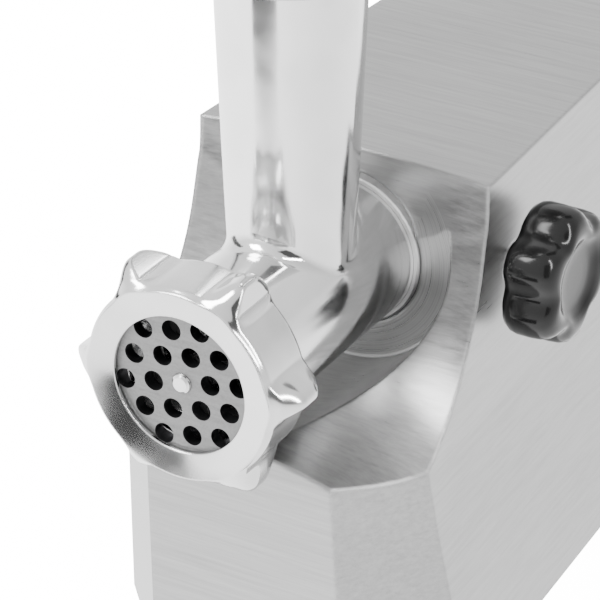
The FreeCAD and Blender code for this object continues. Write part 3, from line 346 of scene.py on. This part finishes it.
def make_materials():
    """The finish of every material slot in the record."""
    return {
        "cast_metal": polished_casting(),
        "ring_metal": polished_casting("polished_ring", 0.64, 0.10, 0.20),
        "housing_metal": brushed_housing(),
        "cover_metal": steel("satin_sheet", 0.60, 0.32, 420, (0.04, 1, 1)),
        "plate_steel": sanded_plate_with_hole_shade(),
        "knife_steel": steel("ground_steel", 0.16, 0.3, 500, (1, 1, 0.1)),
        "bright_steel": steel("bright_steel", 0.72, 0.16, 200),
        "shaft_steel": steel("turned_steel", 0.55, 0.25, 900, (0.2, 1, 0.2)),
        "gear_steel": steel("gear_steel", 0.40, 0.35, 260),
        "laminations": lamination_stack(),
        "copper": copper_winding(),
        "zinc": steel("cast_zinc", 0.58, 0.42, 160, (1, 1, 1), 0.35),
        "black_plastic": plastic("black_plastic", (0.018, 0.018, 0.019), 0.42),
        "gloss_black": plastic("gloss_black", (0.006, 0.006, 0.006), 0.16, 900, 0.03),
        "white_plastic": plastic("white_plastic", (0.78, 0.77, 0.73), 0.4),
        "red_plastic": plastic("red_plastic", (0.42, 0.02, 0.015), 0.3, 900, 0.05, 0.3),
        "rubber": plastic("foot_rubber", (0.022, 0.022, 0.022), 0.75, 700, 0.35),
        "brass": steel("turned_brass", 0.6, 0.25, 600, (0.2, 1, 0.2), 0.08, (0.78, 0.56, 0.22)),
        "board_green": plastic("board_green", (0.02, 0.16, 0.06), 0.35, 500, 0.1, 0.2),
        "capacitor_can": steel("drawn_can", 0.68, 0.28, 300, (1, 0.05, 1)),
    }


# ---------------------------------------------------------------------------------------------
# Mesh helpers
# ---------------------------------------------------------------------------------------------
def smooth(low, high, value):
    """0 below the low value and 1 above the high one, with an even S-shaped rise between them."""
    share = min(max((value - low) / (high - low), 0.0), 1.0)
    return share * share * (3.0 - 2.0 * share)


def mesh_piece(name, bm, angle=30.0):
    """A mesh object with smooth faces, and hard edges where the faces turn by more than an angle."""
    bmesh.ops.recalc_face_normals(bm, faces=bm.faces)
    mesh = bpy.data.meshes.new(name)
    bm.to_mesh(mesh)
    bm.free()
    for face in mesh.polygons:
        face.use_smooth = True
    mesh.set_sharp_from_angle(angle=math.radians(angle))
    return add_object(name, mesh)


def rings(bm, loops, closed=True):
    """Faces between neighbouring loops of points; the last loop joins the first when closed."""
    made = [[bm.verts.new(point) for point in loop] for loop in loops]
    pairs = list(zip(made, made[1:]))
    if closed:
        pairs.append((made[-1], made[0]))
    for first, second in pairs:
        count = len(first)
        for index in range(count):
            after = (index + 1) % count
            bm.faces.new((first[index], first[after], second[after], second[index]))
    return made


def round_y(radius, angle, depth):
    """A point round the head's axis: radius and depth behind the plate's face in millimetres."""
    turn = math.radians(angle)
    return Vector((radius * MM * math.cos(turn), PLATE_Y + depth * MM, AXIS + radius * MM * math.sin(turn)))


# ---------------------------------------------------------------------------------------------
# Ring nut
# ---------------------------------------------------------------------------------------------
# Angles are in degrees and lengths in millimetres.
LUG_TURN = 61.0
LUG_COUNT = 6
LUG_PITCH = 360.0 / LUG_COUNT
LUG_RISE = 9.2
LUG_MIDDLE = 1.0
LUG_HALF_WIDTH = 15.5
RIM_RADIUS = 38.0
RIM_FLARE = 1.4
FILLET_END = -7.0
FILLET_RISE = 2.1
FLAT_DISTANCE = 27.3
FLAT_DIRECTION = (0.564, 0.826)
EDGE_GROOVE = 0.28
STEP_GROOVE = 0.35
RING_FRONT = -3.6
RING_LENGTH = 27.0
RING_BORE = 34.9
RING_STEPS = 1080
RIM_ROUNDING = 0.35
TAIL_ROUNDING = 2.6
TAIL_START = 24.4


def lug_height(turn, along):
    """The nut's radius at an angle from a lug's crest and a distance behind the rim.

    Each lug is a hump that a flat facet cuts off; a shallow groove follows the facet's edge.
    """
    valley = RIM_RADIUS + RIM_FLARE * smooth(0.0, 3.0, along)
    reach = smooth(-3.0, 11.0, along) * (1.0 - smooth(16.0, 35.0, along))
    swell = abs(turn - LUG_MIDDLE) / LUG_HALF_WIDTH
    hump = LUG_RISE * math.cos(min(swell, 1.0) * math.pi / 2) ** 2 * reach
    if turn < FILLET_END:
        fillet = FILLET_RISE * smooth(-15.0, -6.2, turn) * min(reach / 0.47, 1.0)
        return valley + min(hump, fillet)
    lean = math.radians(turn)
    flat = FLAT_DISTANCE / max(FLAT_DIRECTION[0] * math.cos(lean) - FLAT_DIRECTION[1] * math.sin(lean), 0.3)
    over = valley + hump - flat
    height = min(valley + hump, flat)
    if turn < 3.0:
        height -= EDGE_GROOVE * math.exp(-((over + 0.1) / 0.16) ** 2)
        if over > 0:
            height -= STEP_GROOVE * math.exp(-((turn + 6.6) / 0.45) ** 2)
    return height


def rounded_off(radius, past):
    """How much a rounded edge takes off at a distance past its start."""
    return radius - math.sqrt(max(radius ** 2 - max(past, 0.0) ** 2, 0.0))


def make_ring_nut():
    """The nut's skin as one surface of revolution whose radius follows the lugs."""
    steps = [360.0 * index / RING_STEPS for index in range(RING_STEPS)]
    depths = [0.0, 0.25, 0.6, 1.0] + [1.6 + 0.6 * index for index in range(36)]
    depths += [23.4, 24.0, 24.6, 25.2, 25.8, 26.3, 26.7, 26.9, RING_LENGTH]
    loops = []
    for along in depths:
        edge = rounded_off(RIM_ROUNDING, RIM_ROUNDING - along)
        tail = rounded_off(TAIL_ROUNDING, along - TAIL_START)
        loop = []
        for step in steps:
            turn = (step - LUG_TURN + LUG_PITCH / 2) % LUG_PITCH - LUG_PITCH / 2
            loop.append(round_y(lug_height(turn, along) - edge - tail, step, RING_FRONT + along))
        loops.append(loop)
    inner = [(RING_BORE, RING_FRONT + RING_LENGTH), (RING_BORE, -0.3), (28.3, -0.3), (27.8, -0.6),
             (27.6, -1.0), (27.6, -2.0), (27.75, -2.3), (28.1, -2.42), (36.9, -3.52)]
    for radius, depth in inner:
        loops.append([round_y(radius, step, depth) for step in steps])
    bm = bmesh.new()
    rings(bm, loops)
    piece = mesh_piece("ring_nut_skin", bm, 24.0)
    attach(piece, "nut")
    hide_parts("ring_nut")
    return piece


# ---------------------------------------------------------------------------------------------
# Locking knob
# ---------------------------------------------------------------------------------------------
KNOB_LOBES = 6
KNOB_TURN = math.radians(30)
KNOB_STEPS = 288
KNOB_INSET = 0.0006
VALLEY_DEPTH = 0.165
VALLEY_SHARPNESS = 1.6


def make_knob():
    """Six soft lobes with deep valleys, a dished face and a rounded rim.

    The section holds shares of the knob's length and of its outer radius.
    """
    low, high = (Vector(corner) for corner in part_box("lock_knob"))
    middle = (low + high) / 2
    outer = (high.z - low.z) / 2 - KNOB_INSET
    length = high.x - low.x
    section = [(0.0, 0.50), (0.012, 0.60), (0.05, 0.80), (0.12, 0.915), (0.22, 0.975), (0.34, 1.0),
               (0.58, 1.0), (0.74, 0.985), (0.86, 0.945), (0.94, 0.875), (0.985, 0.79), (1.0, 0.70),
               (0.992, 0.62), (0.95, 0.55), (0.90, 0.46), (0.885, 0.36), (0.88, 0.22)]
    loops = []
    for along, share in section:
        loop = []
        depth = VALLEY_DEPTH * smooth(0.45, 0.85, share)
        for index in range(KNOB_STEPS):
            angle = 2 * math.pi * index / KNOB_STEPS
            lobe = 0.5 + 0.5 * math.cos(KNOB_LOBES * (angle - KNOB_TURN))
            radius = outer * share * (1 - depth * (1 - lobe) ** VALLEY_SHARPNESS)
            loop.append(Vector((low.x + along * length, middle.y + radius * math.cos(angle),
                                middle.z + radius * math.sin(angle))))
        loops.append(loop)
    bm = bmesh.new()
    made = rings(bm, loops, closed=False)
    bm.faces.new(made[0])
    bm.faces.new(made[-1])
    piece = mesh_piece("lock_knob_skin", bm, 40.0)
    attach(piece, "lock")
    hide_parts("lock_knob")
    return piece


# ---------------------------------------------------------------------------------------------
# Floor, light and reflections
# ---------------------------------------------------------------------------------------------
CENTRE = Vector((0.0, -0.05, 0.17))
FLOOR_REACH = 6.0
FLOOR_GLOW = 14.0


def make_floor():
    """A glowing white floor that the camera sees and the grinder doesn't reflect."""
    floor = add_sheet("floor", FLOOR_REACH, FLOOR_REACH)
    paint = Paint("floor_paint", grey(0.9), 0.0, 0.7)
    paint.tint(paint.noise(3), grey(0.89), grey(0.91))
    paint.shader.inputs["Emission Color"].default_value = (1, 1, 1, 1)
    paint.shader.inputs["Emission Strength"].default_value = FLOOR_GLOW
    floor.data.materials.append(paint.material)
    floor.visible_glossy = False
    floor.visible_diffuse = False


def make_card(name, size, azimuth, elevation, distance, shade):
    """A dark matt card that the polished metal reflects."""
    card = add_sheet(name, size[0] / 2, size[1] / 2)
    away = outward(azimuth, elevation)
    card.location = CENTRE + away * distance
    card.rotation_euler = away.to_track_quat("Z", "Y").to_euler()
    paint = Paint(name + "_paint", grey(shade), 0.0, 0.9)
    paint.tint(paint.noise(2), grey(shade * 0.9), grey(shade * 1.1))
    card.data.materials.append(paint.material)
    card.visible_camera = False
    card.visible_diffuse = False
    card.visible_shadow = False


def make_light(name, size, energy, azimuth, elevation, distance):
    """A soft box that looks at the grinder from a direction."""
    data = bpy.data.lights.new(name, "AREA")
    data.shape = "RECTANGLE"
    data.size, data.size_y = size
    data.energy = energy
    light = add_object(name, data)
    away = outward(azimuth, elevation)
    light.location = CENTRE + away * distance
    light.rotation_euler = away.to_track_quat("Z", "Y").to_euler()


def make_world():
    """A white room: brightest low down and on the left, dimmer above and on the knob's side."""
    world = bpy.data.worlds.new("studio")
    world.use_nodes = True
    bpy.context.scene.world = world
    tree = world.node_tree
    background = tree.nodes["Background"]
    split = tree.nodes.new("ShaderNodeSeparateXYZ")
    tree.links.new(tree.nodes.new("ShaderNodeTexCoord").outputs["Generated"], split.inputs["Vector"])

    def spread(value, start, end, low, high):
        node = tree.nodes.new("ShaderNodeMapRange")
        for socket, number in zip(("From Min", "From Max", "To Min", "To Max"), (start, end, low, high)):
            node.inputs[socket].default_value = number
        tree.links.new(value, node.inputs["Value"])
        return node.outputs["Result"]

    level = tree.nodes.new("ShaderNodeMath")
    level.operation = "MULTIPLY"
    tree.links.new(spread(split.outputs["Z"], -0.35, 0.25, 3.9, 2.0), level.inputs[0])
    tree.links.new(spread(split.outputs["X"], -0.5, 0.9, 1.0, 0.62), level.inputs[1])
    tree.links.new(level.outputs["Value"], background.inputs["Strength"])
    background.inputs["Color"].default_value = (1.0, 1.0, 1.0, 1.0)


def light_scene():
    """The room, two lights, and four cards that put dark bands in the metal."""
    make_world()
    make_light("key", (0.7, 0.7), 34.0, -40, 50, 1.5)
    make_light("strip", (0.15, 1.2), 22.0, 75, 35, 1.6)
    make_card("card_camera", (1.1, 1.3), 52, 20, 2.0, 0.03)
    make_card("card_low_front", (1.0, 0.55), -10, -16, 1.6, 0.04)
    make_card("card_left", (0.5, 1.6), -95, 10, 1.8, 0.05)
    make_card("card_top", (0.5, 1.0), 150, 62, 1.8, 0.05)


# ---------------------------------------------------------------------------------------------
# Assembly
# ---------------------------------------------------------------------------------------------
def paint_nodes(materials):
    """Each node takes the finish of its material slot in the record."""
    slots = {entry["node"]: entry["material_slot"] for entry in frame["record"]["subparts"]}
    for name, obj in NODES.items():
        finish = materials[slots[name]]
        if not obj.data.materials:
            obj.data.materials.append(finish)
        for entry in obj.material_slots:
            entry.material = finish


make_camera()
MATERIALS = make_materials()
paint_nodes(MATERIALS)
for maker, finish in ((make_ring_nut, "ring_metal"), (make_knob, "gloss_black")):
    maker().data.materials.append(MATERIALS[finish])
make_floor()
light_scene()
